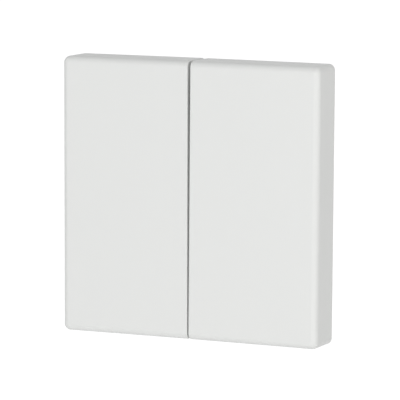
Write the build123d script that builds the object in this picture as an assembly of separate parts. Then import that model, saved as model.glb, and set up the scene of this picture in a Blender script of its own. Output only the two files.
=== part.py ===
from build123d import *
from math import radians, sin
import os

# A flat radio wall switch with two spring-returned rockers side by side, worked by two small
# rocking generators. It is modelled lying on its back: x across, y up the wall and z out of the
# wall, with the wall at z = 0. Each finished piece is stood up against the wall at the end.

# Whole switch
SWITCH_SIZE = 55.0
SWITCH_DEPTH = 14.0
ROCKER_TILT = 3.5

# Rocker caps
CAP_GAP = 0.45
CAP_SKIRT = 8.0
CAP_FACE = 1.8
CAP_WALL = 1.4
CAP_EDGE_R = 1.3
CAP_GAP_EDGE = 0.2
CAP_INSIDE_R = 0.5
RIB_WIDTH = 0.9
RIB_DEEP = 1.3
RIB_SHALLOW = 0.2
RIB_START = 2.9
WEB_DEEP = 1.0
BOSS_HALF = 1.4

# Rocker pivots
PIVOT_DEPTH = 1.3
PIN_R = 0.8
PIN_FIT = 0.05
PIN_END = 0.15
EAR_WIDTH = 1.3
EAR_HALF = 2.0
EAR_SIDE_AIR = 0.25
HOOK_REACH = 1.1
HOOK_THROAT = 1.35
HOOK_LEAD = 0.35
LUG_HALF = 2.2
LUG_RISE = 0.85
POST_THICK = 1.2
POST_HALF = 1.5
POST_FOOT_HALF = 2.6

# Finger and fork
FINGER_LENGTH = 1.7
FINGER_WIDTH = 1.8
FINGER_HALF = 0.5
FINGER_ROOT_HALF = 0.9
FINGER_TIP_R = 0.7
FORK_PRONG = 0.9
FORK_HALF = 1.2
FORK_RISE = 0.7

# Wall plate
PLATE_THICK = 1.6
PLATE_CORNER_R = 3.0
POCKET_DEEP = 0.5
POCKET_MARGIN = 1.6
SCREW_INSET = 8.0
SCREW_SLOT_LENGTH = 6.0
SCREW_SLOT_WIDTH = 3.6
SCREW_HEAD_WIDTH = 7.4
SCREW_HEAD_SINK = 0.6
TONGUE_AIR = 2.0
TONGUE_FIT = 0.1
TONGUE_WIDTH = 5.0
TONGUE_THICK = 0.9
TONGUE_NOSE = 0.6
TONGUE_BEND = 0.7

# Carrier tray
SKIRT_TO_TRAY = 2.1
TRAY_WALL = 1.3
TRAY_FLOOR = 1.2
PILLAR_INSET = 2.5
PILLAR_HALF = 2.2
CORNER_LEDGE = 6.2
BEARING_THICK = 1.0
BEARING_HALF = 1.8

# Module cover and its screws
COVER_THICK = 1.0
COVER_AIR = 0.4
COVER_BOSS_HALF = 2.3
COVER_BOSS_DEEP = 0.8
COVER_HOLE_AIR = 0.7
SCREW_R = 1.1
SCREW_LENGTH = 5.5
SCREW_HEAD_R = 1.9
SCREW_HEAD_HEIGHT = 0.8
SCREW_HEAD_SUNK = 0.1
SCREW_HOLE_SPARE = 0.8
SCREW_FIT = 0.05

# Circuit board and what is soldered to it
BOARD_STANDOFF = 0.4
BOARD_THICK = 0.8
BOARD_AIR = 0.3
CHIP_SIZE = 5.0
CHIP_HEIGHT = 0.9
CRYSTAL_LENGTH = 3.2
CRYSTAL_WIDTH = 2.5
CRYSTAL_HEIGHT = 0.8
CAPACITOR_WIDTH = 4.3
CAPACITOR_LENGTH = 7.3
CAPACITOR_HEIGHT = 2.8
RECTIFIER_WIDTH = 1.3
RECTIFIER_LENGTH = 2.0
RECTIFIER_HEIGHT = 0.9
PARTS_AIR = 0.6
ANTENNA_LENGTH = 17.0
ANTENNA_THICK = 0.4
ANTENNA_HEIGHT = 2.6
ANTENNA_STRIP = 1.2
ANTENNA_EDGE = 1.2

# Contact domes
DOME_INSET = 5.7
DOME_R = 3.2
DOME_HEIGHT = 3.4
DOME_TOP_R = 1.6
DOME_WALL = 0.45
DOME_STROKE = 0.9
DOME_AIR = 0.15

# Generators
MAGNET_THICK = 1.8
MAGNET_LENGTH = 6.0
POLE_THICK = 0.8
POLE_WIDTH = 4.4
POLE_CORNER = 0.5
POLE_LENGTH = 19.6
LEVER_FIT = 0.05
LEVER_CHEEK = 1.1
LEVER_BRIDGE = 0.7
LEVER_HALF = 3.4
CORE_THICK = 1.0
CORE_BAR = 2.2
CORE_LEG = 1.6
CORE_TIP_AIR = 0.6
BOBBIN_LENGTH = 14.9
BOBBIN_FLANGE = 0.8
BOBBIN_TUBE = 0.6
BOBBIN_WIDTH = 6.0
COIL_STEP = 0.25
COIL_CORNER_R = 1.4
TERMINAL_WIDTH = 1.9
TERMINAL_LENGTH = 1.5
TERMINAL_HEIGHT = 1.3
TERMINAL_PIN = 0.5
TERMINAL_PIN_RISE = 0.5

# Levels above the wall
half_size = SWITCH_SIZE / 2
rim = SWITCH_DEPTH - CAP_SKIRT
cap_inside = SWITCH_DEPTH - CAP_FACE
pivot = cap_inside - PIVOT_DEPTH
finger_tip = pivot - FINGER_LENGTH
floor_top = PLATE_THICK + TRAY_FLOOR
board_bottom = floor_top + BOARD_STANDOFF
board_top = board_bottom + BOARD_THICK
dome_top = board_top + DOME_HEIGHT

# Outlines, as half widths from the middle
tray_half = half_size - CAP_WALL - SKIRT_TO_TRAY
tray_inside = tray_half - TRAY_WALL
board_half = tray_inside - BOARD_AIR
pillar_at = tray_inside - PILLAR_INSET
screw_y = tray_half - SCREW_INSET
tongue_root = tray_inside - TONGUE_NOSE - TONGUE_THICK - TONGUE_FIT
tongue_free = tongue_root - TONGUE_BEND
tongue_y = tray_inside - CORNER_LEDGE - TONGUE_AIR - TONGUE_WIDTH / 2
dome_y = tray_inside - DOME_INSET
dome_x = (half_size + CAP_GAP / 2) / 2
outer_rib_x = (dome_x + half_size - CAP_WALL) / 2
cross_rib_y = (RIB_START + dome_y) / 2

# The cover lies as high as the tilted caps leave it room
cover_top = cap_inside - tray_half * sin(radians(ROCKER_TILT)) - COVER_AIR
cover_bottom = cover_top - COVER_THICK

# Each generator lies midway between the tray's floor and the cover, and midway between the
# centre post and the space that the tongues bend into
axle = (floor_top + cover_bottom) / 2
stack_half = MAGNET_THICK / 2 + POLE_THICK
cage_half = stack_half + LEVER_FIT
cheek_inside = POLE_WIDTH / 2 + LEVER_FIT
cheek_outside = cheek_inside + LEVER_CHEEK
bearing_near = cheek_outside + EAR_SIDE_AIR / 2
bearing_far = bearing_near + BEARING_THICK
generator_width = 2 * bearing_far + EAR_SIDE_AIR + BOBBIN_WIDTH
finger_x = (POST_THICK / 2 + tongue_free - generator_width) / 2 + bearing_far
bobbin_near = finger_x + bearing_far + EAR_SIDE_AIR
coil_x = bobbin_near + BOBBIN_WIDTH / 2
leg_y = BOBBIN_LENGTH / 2 + EAR_SIDE_AIR / 2 + CORE_LEG / 2
window_half = POLE_LENGTH / 2 + BOARD_AIR * 1.5
terminal_x = bobbin_near + BOBBIN_WIDTH - TERMINAL_WIDTH / 2
terminal_y = BOBBIN_LENGTH / 2 + TERMINAL_LENGTH / 2
parts_row_y = (window_half + board_half) / 2

# Pivot places
ear_outer = tray_half + EAR_SIDE_AIR
ear_inner = POST_THICK / 2 + EAR_SIDE_AIR
pin_reach = EAR_SIDE_AIR + EAR_WIDTH + PIN_END

SIDES = (-1, 1)
CORNERS = [(side, end) for side in SIDES for end in SIDES]


def block(x, y, z):
    """A box from its ranges along x, y and z."""
    size = [high - low for low, high in (x, y, z)]
    middle = [(high + low) / 2 for low, high in (x, y, z)]
    return Pos(*middle) * Box(*size)


def disc(radius, x, y, low, high):
    """A cylinder that stands on the wall side, from one level to another."""
    return Pos(x, y, (low + high) / 2) * Cylinder(radius, high - low)


def across(sketch, start, end):
    """Extrude a sketch drawn in y and z along x."""
    return extrude(Plane.YZ.offset(start) * sketch, amount=end - start, dir=(1, 0, 0))


def around(middle, half):
    """A range about its middle."""
    return (middle - half, middle + half)


def hook(half, root, centre, tip):
    """The y-z outline of an open hook that clips over a pin: its mouth points to its tip."""
    points_to = 1 if tip > centre else -1
    body = Pos(0, (root + tip) / 2) * Rectangle(2 * half, abs(root - tip))
    bore = Pos(0, centre) * Circle(PIN_R + PIN_FIT)
    throat = Pos(0, (centre + tip) / 2) * Rectangle(HOOK_THROAT, abs(tip - centre))
    lead_z = tip - points_to * HOOK_LEAD
    mouth = HOOK_THROAT / 2 + HOOK_LEAD
    lead = Polygon(
        (-mouth, tip),
        (mouth, tip),
        (HOOK_THROAT / 2, lead_z),
        (-HOOK_THROAT / 2, lead_z),
        align=None,
    )
    return body - bore - throat - lead


def rib_depth(y):
    """How deep a rib under a cap may be at a distance from the pivot, to clear the cover."""
    share = (abs(y) - RIB_START) / (tray_half - RIB_START)
    return RIB_DEEP + (RIB_SHALLOW - RIB_DEEP) * share


def long_rib(end):
    """The y-z outline of a rib that gets shallower away from the pivot."""
    return Polygon(
        (end * RIB_START, cap_inside),
        (end * RIB_START, cap_inside - RIB_DEEP),
        (end * tray_half, cap_inside - RIB_SHALLOW),
        (end * tray_half, cap_inside),
        align=None,
    )


def gap_return(end):
    """The y-z outline of the full-depth return beside the gap, outside the tray."""
    start = tray_half + SKIRT_TO_TRAY / 3
    finish = half_size - CAP_WALL / 2
    return Polygon(
        (end * tray_half, cap_inside),
        (end * tray_half, cap_inside - RIB_SHALLOW),
        (end * start, cap_inside - RIB_SHALLOW),
        (end * start, rim),
        (end * finish, rim),
        (end * finish, cap_inside),
        align=None,
    )


def cap_shell():
    """The right cap's outer form and cavity, cut from one block for both caps."""
    reach = SWITCH_SIZE
    both = block((-reach / 2, reach / 2), (-reach / 2, reach / 2), (rim, SWITCH_DEPTH))
    front_edges = both.faces().sort_by(Axis.Z)[-1].edges()
    both = fillet(both.edges().filter_by(Axis.Z) + front_edges, CAP_EDGE_R)
    right_half = block((CAP_GAP / 2, reach), (-reach, reach), (0, SWITCH_DEPTH + 1))
    shell = both & right_half
    gap_face = shell.faces().sort_by(Axis.X)[0]
    gap_edges = gap_face.edges().filter_by(lambda e: e.center().Z > rim + 0.01)
    shell = chamfer(gap_edges, CAP_GAP_EDGE)
    inside = half_size - CAP_WALL
    cavity = block((-inside, inside), (-inside, inside), (rim - CAP_FACE, cap_inside))
    return shell - fillet(cavity.edges().filter_by(Axis.Z), CAP_INSIDE_R)


def drive_finger():
    """The y-z outline of a cap's finger: a tapered blade with a round tip that runs in the fork."""
    blade = Polygon(
        (-FINGER_HALF, finger_tip),
        (FINGER_HALF, finger_tip),
        (FINGER_ROOT_HALF, cap_inside),
        (-FINGER_ROOT_HALF, cap_inside),
        align=None,
    )
    return blade + Pos(0, finger_tip) * Circle(FINGER_TIP_R)


def rocker_cap():
    """The right rocker cap with its ribs, clip ears, contact bosses and drive finger."""
    cap = cap_shell()
    inside = half_size - CAP_WALL
    gap_side = CAP_GAP / 2
    for end in SIDES:
        cap += across(long_rib(end), gap_side, gap_side + RIB_WIDTH)
        cap += across(gap_return(end), gap_side, gap_side + RIB_WIDTH)
        for middle in (finger_x, dome_x, outer_rib_x):
            cap += across(long_rib(end), *around(middle, RIB_WIDTH / 2))
        depth = rib_depth(cross_rib_y + RIB_WIDTH / 2)
        cap += block(
            (gap_side, inside),
            around(end * cross_rib_y, RIB_WIDTH / 2),
            (cap_inside - depth, cap_inside),
        )
        cap += block(
            around(dome_x, BOSS_HALF),
            around(end * dome_y, BOSS_HALF),
            (dome_top + DOME_AIR, cap_inside),
        )
    cap += block(
        (ear_inner + EAR_WIDTH + PIN_END + EAR_SIDE_AIR, tray_inside - EAR_SIDE_AIR),
        (-RIB_WIDTH / 2, RIB_WIDTH / 2),
        (cap_inside - WEB_DEEP, cap_inside),
    )
    ear = hook(EAR_HALF, cap_inside, pivot, pivot - HOOK_REACH)
    cap += across(ear, ear_inner, ear_inner + EAR_WIDTH)
    cap += across(ear, ear_outer, ear_outer + EAR_WIDTH)
    return cap + across(drive_finger(), *around(finger_x, FINGER_WIDTH / 2))


def wall_plate():
    """The flat plate that is screwed to the wall, with clip tongues for the tray."""
    outline = RectangleRounded(2 * tray_half, 2 * tray_half, PLATE_CORNER_R)
    plate = extrude(outline, PLATE_THICK)
    for end in SIDES:
        place = Pos(0, end * screw_y) * Rot(0, 0, 90)
        slot = SlotOverall(SCREW_SLOT_LENGTH, SCREW_SLOT_WIDTH)
        plate -= extrude(place * slot, PLATE_THICK)
        sink_length = SCREW_SLOT_LENGTH + SCREW_HEAD_WIDTH - SCREW_SLOT_WIDTH
        sink = place * SlotOverall(sink_length, SCREW_HEAD_WIDTH)
        plate -= extrude(Pos(0, 0, PLATE_THICK - SCREW_HEAD_SINK) * sink, PLATE_THICK)
        for level in SIDES:
            plate -= pocket(end, level)
    root = tongue_root
    nose_low = floor_top + TONGUE_FIT / 2
    nose_high = nose_low + TONGUE_THICK
    for side, end in CORNERS:
        tongue = Plane.XZ * Polygon(
            (side * root, 0),
            (side * (root + TONGUE_THICK), 0),
            (side * (root + TONGUE_THICK), nose_low),
            (side * (root + TONGUE_THICK + TONGUE_NOSE), nose_low),
            (side * (root + TONGUE_THICK), nose_high),
            (side * root, nose_high),
            align=None,
        )
        plate += Pos(0, end * tongue_y) * extrude(tongue, TONGUE_WIDTH / 2, both=True)
    return plate


def pocket(side, end):
    """A shallow pocket moulded into a quarter of the plate's wall side."""
    near = SCREW_HEAD_WIDTH / 2 + POCKET_MARGIN
    far = tongue_root - POCKET_MARGIN
    pocket_x = sorted((side * near, side * far))
    pocket_y = sorted((end * POCKET_MARGIN / 2, end * (tray_half - 2 * POCKET_MARGIN)))
    return block(pocket_x, pocket_y, (-POCKET_DEEP, POCKET_DEEP))


def corner_post(side, end):
    """A square post in a corner of the tray, which a screw of the cover bites into."""
    start = pillar_at - PILLAR_HALF
    finish = tray_inside + TRAY_WALL / 2
    post_x = sorted((side * start, side * finish))
    post_y = sorted((end * start, end * finish))
    return block(post_x, post_y, (floor_top - TRAY_FLOOR / 2, cover_bottom - COVER_BOSS_DEEP))


def corner_ledge(side, end):
    """A square ledge in a corner of the tray, which the board rests on."""
    ledge_x = sorted((side * (tray_inside - CORNER_LEDGE), side * (tray_inside + TRAY_WALL / 2)))
    ledge_y = sorted((end * (tray_inside - CORNER_LEDGE), end * (tray_inside + TRAY_WALL / 2)))
    return block(ledge_x, ledge_y, (floor_top - TRAY_FLOOR / 2, board_bottom))


def upright(half):
    """The y-z outline of a wall that carries a rocker pin, from the floor up."""
    height = pivot + LUG_RISE - floor_top
    outline = Pos(0, floor_top + height / 2) * Rectangle(2 * half, height)
    return fillet(outline.vertices().sort_by(Axis.Y)[-2:], LUG_RISE)


def carrier_tray():
    """The tray that carries the board, the generators and the rockers' pins."""
    outline = RectangleRounded(2 * tray_half, 2 * tray_half, PLATE_CORNER_R)
    tray = Pos(0, 0, PLATE_THICK) * extrude(outline, cover_bottom - PLATE_THICK)
    hollow = Rectangle(2 * tray_inside, 2 * tray_inside)
    tray -= Pos(0, 0, floor_top) * extrude(hollow, SWITCH_DEPTH)
    for side, end in CORNERS:
        tray += corner_post(side, end)
        tray += corner_ledge(side, end)
        slot_x = sorted((side * tongue_free, side * (tongue_root + TONGUE_THICK + TONGUE_FIT)))
        slot_y = around(end * tongue_y, TONGUE_WIDTH / 2 + TONGUE_FIT * 2)
        tray -= block(slot_x, slot_y, (0, floor_top + TONGUE_FIT))
    tray &= extrude(outline, SWITCH_DEPTH)
    for side, end in CORNERS:
        at = (side * pillar_at, end * pillar_at)
        bottom = cover_top - SCREW_HEAD_SUNK - SCREW_LENGTH - SCREW_HOLE_SPARE
        tray -= disc(SCREW_R + SCREW_FIT, *at, bottom, cover_bottom)
        rest_x = sorted((side * (bobbin_near - RIB_WIDTH), side * (bobbin_near + RIB_WIDTH * 2)))
        rest_y = around(end * leg_y, CORE_LEG / 2)
        tray += block(rest_x, rest_y, (floor_top - TRAY_FLOOR / 2, axle - CORE_THICK / 2))
    foot = Polygon(
        (-POST_FOOT_HALF, floor_top),
        (POST_FOOT_HALF, floor_top),
        (POST_HALF, cover_bottom),
        (-POST_HALF, cover_bottom),
        align=None,
    )
    tray += across(upright(POST_HALF) + foot, -POST_THICK / 2, POST_THICK / 2)
    pin = Pos(0, pivot) * Circle(PIN_R)
    tray += across(pin, *around(0, POST_THICK / 2 + pin_reach))
    bearing = hook(BEARING_HALF, floor_top, axle, axle + HOOK_REACH)
    for side in SIDES:
        tray += across(upright(LUG_HALF), *sorted((side * tray_inside, side * tray_half)))
        tray += across(pin, *sorted((side * tray_inside, side * (tray_half + pin_reach))))
        for near in (-1, 1):
            start = side * (finger_x + near * bearing_near)
            finish = side * (finger_x + near * bearing_far)
            tray += across(bearing, *sorted((start, finish)))
        head_x = SCREW_HEAD_WIDTH + 2 * TONGUE_FIT
        head_y = head_x + SCREW_SLOT_LENGTH - SCREW_SLOT_WIDTH
        tray -= block(around(0, head_x / 2), around(side * screw_y, head_y / 2), (0, floor_top))
    return tray


def module_cover():
    """The flat lid over the generators, open where ears, fingers and bosses pass."""
    outline = RectangleRounded(2 * tray_half, 2 * tray_half, PLATE_CORNER_R)
    cover = Pos(0, 0, cover_bottom) * extrude(outline, COVER_THICK)
    sink = SCREW_HEAD_SUNK + SCREW_HEAD_HEIGHT
    for side, end in CORNERS:
        at = (side * pillar_at, end * pillar_at)
        cover += block(
            around(at[0], COVER_BOSS_HALF),
            around(at[1], COVER_BOSS_HALF),
            (cover_bottom - COVER_BOSS_DEEP, cover_bottom),
        )
        cover -= disc(SCREW_R + SCREW_FIT, *at, cover_bottom - COVER_BOSS_DEEP, cover_top)
        cover -= disc(SCREW_HEAD_R + SCREW_FIT, *at, cover_top - sink, cover_top)
        opening = BOSS_HALF + COVER_HOLE_AIR
        cover -= block(
            around(side * dome_x, opening), around(end * dome_y, opening), (cover_bottom, cover_top)
        )
        press_x = sorted((side * (bobbin_near - RIB_WIDTH), side * (bobbin_near + RIB_WIDTH)))
        press_y = around(end * leg_y, CORE_LEG / 2)
        cover += block(press_x, press_y, (axle + CORE_THICK / 2, cover_bottom))
    slot_half_x = ear_inner + EAR_WIDTH + 2 * EAR_SIDE_AIR
    slot_half_y = EAR_HALF + 2 * EAR_SIDE_AIR
    centre_slot = Rectangle(2 * slot_half_x, 2 * slot_half_y)
    cover -= Pos(0, 0, cover_bottom) * extrude(centre_slot, COVER_THICK)
    fork_y = FINGER_TIP_R + FORK_PRONG + COVER_HOLE_AIR
    for side in SIDES:
        fork_x = around(side * finger_x, FORK_HALF + EAR_SIDE_AIR)
        cover -= block(fork_x, (-fork_y, fork_y), (cover_bottom, cover_top))
        notch_x = sorted((side * (tray_inside - EAR_SIDE_AIR), side * SWITCH_SIZE))
        notch_half = LUG_HALF + EAR_SIDE_AIR
        cover -= block(notch_x, (-notch_half, notch_half), (cover_bottom, cover_top))
    return cover


def cover_screws():
    """Four small screws with flat round heads."""
    screw = disc(SCREW_R, 0, 0, -SCREW_LENGTH, 0) + disc(SCREW_HEAD_R, 0, 0, -SCREW_HEAD_HEIGHT, 0)
    level = cover_top - SCREW_HEAD_SUNK
    places = [Pos(side * pillar_at, end * pillar_at, level) for side, end in CORNERS]
    return Compound([place * screw for place in places])


def circuit_board():
    """The board: an I shape, with a bay each side for a generator, cut back at pillars and tongues."""
    board = Rectangle(2 * board_half, 2 * board_half)
    for side, end in CORNERS:
        notch = 2 * (board_half - pillar_at + PILLAR_HALF + BOARD_AIR)
        board -= Pos(side * board_half, end * board_half) * Rectangle(notch, notch)
        shoulder = board_half - tongue_free
        start = tongue_y - TONGUE_WIDTH / 2 - 2 * TONGUE_FIT
        middle_y = (start + board_half) / 2
        cut = Rectangle(2 * shoulder, board_half - start)
        board -= Pos(side * board_half, end * middle_y) * cut
        hole = TERMINAL_PIN + 2 * SCREW_FIT
        board -= Pos(side * terminal_x, end * terminal_y) * Rectangle(hole, hole)
    inner = finger_x - bearing_far - BOARD_AIR
    step = terminal_x - TERMINAL_WIDTH / 2 - BOARD_AIR
    for side in SIDES:
        wide = Rectangle(step - inner, 2 * window_half)
        board -= Pos(side * (inner + step) / 2, 0) * wide
        narrow = Rectangle(board_half - inner, BOBBIN_LENGTH + BOARD_AIR)
        board -= Pos(side * (inner + board_half) / 2, 0) * narrow
    centre = Rectangle(POST_THICK + 2 * BOARD_AIR, 2 * (POST_FOOT_HALF + BOARD_AIR))
    return Pos(0, 0, board_bottom) * extrude(board - centre, BOARD_THICK)


def surface_part(width, length, height, x, y):
    """A small soldered part on the board, with its top edges eased."""
    body = block(around(x, width / 2), around(y, length / 2), (board_top, board_top + height))
    return chamfer(body.faces().sort_by(Axis.Z)[-1].edges(), height / 8)


def radio_chip():
    """The radio chip, beside the crystal above the middle."""
    left_of_middle = -CHIP_SIZE / 2 - PARTS_AIR
    return surface_part(CHIP_SIZE, CHIP_SIZE, CHIP_HEIGHT, left_of_middle, parts_row_y)


def crystal():
    """The crystal in its low can."""
    right_of_middle = CRYSTAL_LENGTH / 2 + PARTS_AIR
    size = (CRYSTAL_LENGTH, CRYSTAL_WIDTH, CRYSTAL_HEIGHT)
    return surface_part(*size, right_of_middle, parts_row_y)


def storage_capacitors():
    """Two capacitors that hold the energy of one press."""
    spread = (CAPACITOR_WIDTH + PARTS_AIR) / 2
    size = (CAPACITOR_WIDTH, CAPACITOR_LENGTH, CAPACITOR_HEIGHT)
    return Compound([surface_part(*size, side * spread, -parts_row_y) for side in SIDES])


def rectifiers():
    """Four rectifier diodes, two beside each capacitor."""
    size = (RECTIFIER_WIDTH, RECTIFIER_LENGTH, RECTIFIER_HEIGHT)
    beside = PARTS_AIR * 1.5 + CAPACITOR_WIDTH + RECTIFIER_WIDTH / 2
    apart = (RECTIFIER_LENGTH + PARTS_AIR) / 2
    places = [(side * beside, -parts_row_y + end * apart) for side, end in CORNERS]
    return Compound([surface_part(*size, *place) for place in places])


def antenna():
    """A stamped strip on two feet along the board's top edge."""
    top = board_top + ANTENNA_HEIGHT
    y = board_half - ANTENNA_EDGE
    half = ANTENNA_LENGTH / 2
    strip = block((-half, half), around(y, ANTENNA_THICK / 2), (top - ANTENNA_STRIP, top))
    for foot_x in (-half + ANTENNA_STRIP / 2, -half / 3):
        strip += block(
            around(foot_x, ANTENNA_STRIP / 2), around(y, ANTENNA_THICK / 2), (board_top, top)
        )
    return strip


def contact_dome(side, end):
    """A silicone dome that stands on the board under a cap's boss: a hollow foot and a button."""
    shoulder = DOME_STROKE + DOME_WALL
    outline = Polyline(
        (DOME_R - DOME_WALL, 0),
        (DOME_R, 0),
        (DOME_R, shoulder),
        (DOME_TOP_R, shoulder),
        (DOME_TOP_R, DOME_HEIGHT),
        (0, DOME_HEIGHT),
        (0, DOME_STROKE),
        (DOME_R - DOME_WALL, DOME_STROKE),
        (DOME_R - DOME_WALL, 0),
    )
    dome = revolve(Plane.XZ * make_face(outline), Axis.Z)
    return Pos(side * dome_x, end * dome_y, board_top) * dome


def lever():
    """The right rocking lever: a cage for the magnet, two trunnions and the fork."""
    low, high = axle - cage_half, axle + cage_half
    fork_top = finger_tip + FORK_RISE
    cage = block(
        around(0, cheek_outside),
        around(0, LEVER_HALF),
        (low - LEVER_BRIDGE, high + LEVER_BRIDGE),
    )
    cage = chamfer(cage.edges().filter_by(Axis.X), LEVER_BRIDGE)
    cage += block(
        around(0, FORK_HALF),
        around(0, FINGER_TIP_R + LEVER_FIT + FORK_PRONG),
        (high, fork_top),
    )
    cage -= block(around(0, cheek_inside), around(0, LEVER_HALF), (low, high))
    slot_half = FINGER_TIP_R + LEVER_FIT
    slot_bottom = finger_tip - FINGER_TIP_R - 2 * LEVER_FIT
    cage -= block(around(0, FORK_HALF), around(0, slot_half), (slot_bottom, fork_top))
    reach = bearing_far + LEVER_FIT
    for side in SIDES:
        ends = sorted((side * cheek_inside, side * reach))
        cage += across(Pos(0, axle) * Circle(PIN_R), *ends)
    return Pos(finger_x, 0, 0) * cage


def magnet():
    """The block magnet between the pole plates."""
    return block(
        around(finger_x, POLE_WIDTH / 2),
        around(0, MAGNET_LENGTH / 2),
        around(axle, MAGNET_THICK / 2),
    )


def pole_plates():
    """Two steel plates that carry the magnet's poles to the core's legs."""
    inner, outer = MAGNET_THICK / 2, stack_half
    plates = []
    for side in SIDES:
        levels = sorted((axle + side * inner, axle + side * outer))
        plate = block(around(finger_x, POLE_WIDTH / 2), around(0, POLE_LENGTH / 2), levels)
        plates.append(chamfer(plate.edges().filter_by(Axis.Z), POLE_CORNER))
    return Compound(plates)


def core():
    """The U-shaped core: its bar passes through the bobbin, its legs reach between the poles."""
    leg_outer = leg_y + CORE_LEG / 2
    tip = finger_x - POLE_WIDTH / 2 + CORE_TIP_AIR
    bar_outer = coil_x + CORE_BAR / 2
    levels = around(axle, CORE_THICK / 2)
    shape = block((tip, bar_outer), (-leg_outer, leg_outer), levels)
    bay = leg_y - CORE_LEG / 2
    shape -= block((tip - 1, coil_x - CORE_BAR / 2), (-bay, bay), levels)
    corners = shape.edges().filter_by(Axis.Z).filter_by(lambda e: e.center().X > coil_x)
    return fillet(corners, CORE_LEG / 2)


def ring(width, height, corner, inner_width, inner_height, length):
    """A rounded rectangular tube along y about the core's bar."""
    section = RectangleRounded(width, height, corner) - Rectangle(inner_width, inner_height)
    return extrude(Plane.XZ * section, length / 2, both=True)


def bobbin():
    """The bobbin moulded round the core's bar, with two flanges that stand on the tray."""
    hole = (CORE_BAR + 2 * LEVER_FIT, CORE_THICK + 2 * LEVER_FIT)
    tube = (hole[0] + 2 * BOBBIN_TUBE, hole[1] + 2 * BOBBIN_TUBE)
    shape = ring(*tube, BOBBIN_TUBE, *hole, BOBBIN_LENGTH)
    shape = Pos(coil_x, 0, axle) * shape
    for end in SIDES:
        outer = end * BOBBIN_LENGTH / 2
        inner = outer - end * BOBBIN_FLANGE
        flange = block(
            around(coil_x, BOBBIN_WIDTH / 2),
            sorted((inner, outer)),
            (floor_top, cover_bottom - EAR_SIDE_AIR),
        )
        flange = chamfer(flange.edges().filter_by(Axis.Y), BOBBIN_TUBE)
        flange -= block(
            around(coil_x, hole[0] / 2), sorted((inner, outer)), around(axle, hole[1] / 2)
        )
        shape += flange
        terminal = block(
            around(terminal_x, TERMINAL_WIDTH / 2),
            sorted((outer, outer + end * TERMINAL_LENGTH)),
            (board_top, board_top + TERMINAL_HEIGHT),
        )
        shape += terminal - terminal_pin(1, end)
    return shape


def coil():
    """The winding between the bobbin's flanges."""
    height = cover_bottom - EAR_SIDE_AIR - axle - COIL_STEP
    inner_width = CORE_BAR + 2 * (LEVER_FIT + BOBBIN_TUBE)
    inner_height = CORE_THICK + 2 * (LEVER_FIT + BOBBIN_TUBE)
    length = BOBBIN_LENGTH - 2 * BOBBIN_FLANGE
    width = BOBBIN_WIDTH - 2 * COIL_STEP
    shape = ring(width, 2 * height, COIL_CORNER_R, inner_width, inner_height, length)
    return Pos(coil_x, 0, axle) * shape


def terminal_pin(side, end):
    """One square pin, from under the board to above its terminal."""
    return block(
        around(side * terminal_x, TERMINAL_PIN / 2),
        around(end * terminal_y, TERMINAL_PIN / 2),
        (board_bottom - BOARD_STANDOFF / 2, board_top + TERMINAL_HEIGHT + TERMINAL_PIN_RISE),
    )


def coil_pins():
    """The four pins that join the windings to the board."""
    return Compound([terminal_pin(side, end) for side, end in CORNERS])


def mirrored(shape):
    """The left-hand copy of a right-hand piece."""
    return mirror(shape, Plane.YZ)


def all_pieces():
    """Every node's solids by name, lying on the back."""
    pieces = {
        "wall_plate": wall_plate(),
        "carrier_tray": carrier_tray(),
        "module_cover": module_cover(),
        "cover_screws": cover_screws(),
        "circuit_board": circuit_board(),
        "radio_chip": radio_chip(),
        "crystal": crystal(),
        "storage_capacitors": storage_capacitors(),
        "rectifiers": rectifiers(),
        "antenna": antenna(),
        "coil_pins": coil_pins(),
    }
    right_hand = {
        "rocker_cap": rocker_cap(),
        "lever": lever(),
        "magnet": magnet(),
        "pole_plates": pole_plates(),
        "core": core(),
        "bobbin": bobbin(),
        "coil": coil(),
    }
    for name, shape in right_hand.items():
        pieces["right_" + name] = shape
        pieces["left_" + name] = mirrored(shape)
    for side, side_name in ((-1, "left"), (1, "right")):
        for end, end_name in ((1, "top"), (-1, "bottom")):
            pieces[f"{side_name}_{end_name}_dome"] = contact_dome(side, end)
    return pieces


os.makedirs("parts", exist_ok=True)
for name, shape in all_pieces().items():
    export_step(Plane.XZ.location * shape, f"parts/{name}.step")
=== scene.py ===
"""The looks of a flat radio wall switch with two rockers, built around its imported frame."""

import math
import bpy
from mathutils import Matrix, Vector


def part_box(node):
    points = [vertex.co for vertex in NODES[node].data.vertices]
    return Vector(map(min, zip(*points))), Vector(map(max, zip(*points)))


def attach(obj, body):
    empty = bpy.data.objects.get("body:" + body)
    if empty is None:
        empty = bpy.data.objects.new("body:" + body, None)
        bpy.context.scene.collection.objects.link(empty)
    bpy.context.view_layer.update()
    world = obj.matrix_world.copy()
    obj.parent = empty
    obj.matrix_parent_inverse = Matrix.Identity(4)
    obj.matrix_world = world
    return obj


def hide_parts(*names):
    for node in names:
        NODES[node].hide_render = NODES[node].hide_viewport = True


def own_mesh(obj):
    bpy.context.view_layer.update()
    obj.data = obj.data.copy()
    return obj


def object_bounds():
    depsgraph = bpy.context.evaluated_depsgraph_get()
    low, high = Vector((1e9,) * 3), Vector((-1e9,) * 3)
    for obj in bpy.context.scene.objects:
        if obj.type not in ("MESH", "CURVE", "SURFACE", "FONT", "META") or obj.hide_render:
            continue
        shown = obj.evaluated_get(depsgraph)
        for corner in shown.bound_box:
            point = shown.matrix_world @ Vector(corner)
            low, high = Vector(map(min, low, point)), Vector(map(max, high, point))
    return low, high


bl_info = {
    "name": "Flat Double Rocker Switch",
    "version": (1, 0, 0),
    "blender": (4, 5, 0),
    "location": "3D Viewport > Sidebar > Switch",
    "description": "Dresses the packed frame of a flat radio wall switch with two rockers",
    "category": "Object",
}

import bmesh
import bpy
from bpy.props import FloatProperty, FloatVectorProperty, IntProperty, PointerProperty
from mathutils import Matrix, Vector

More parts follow.
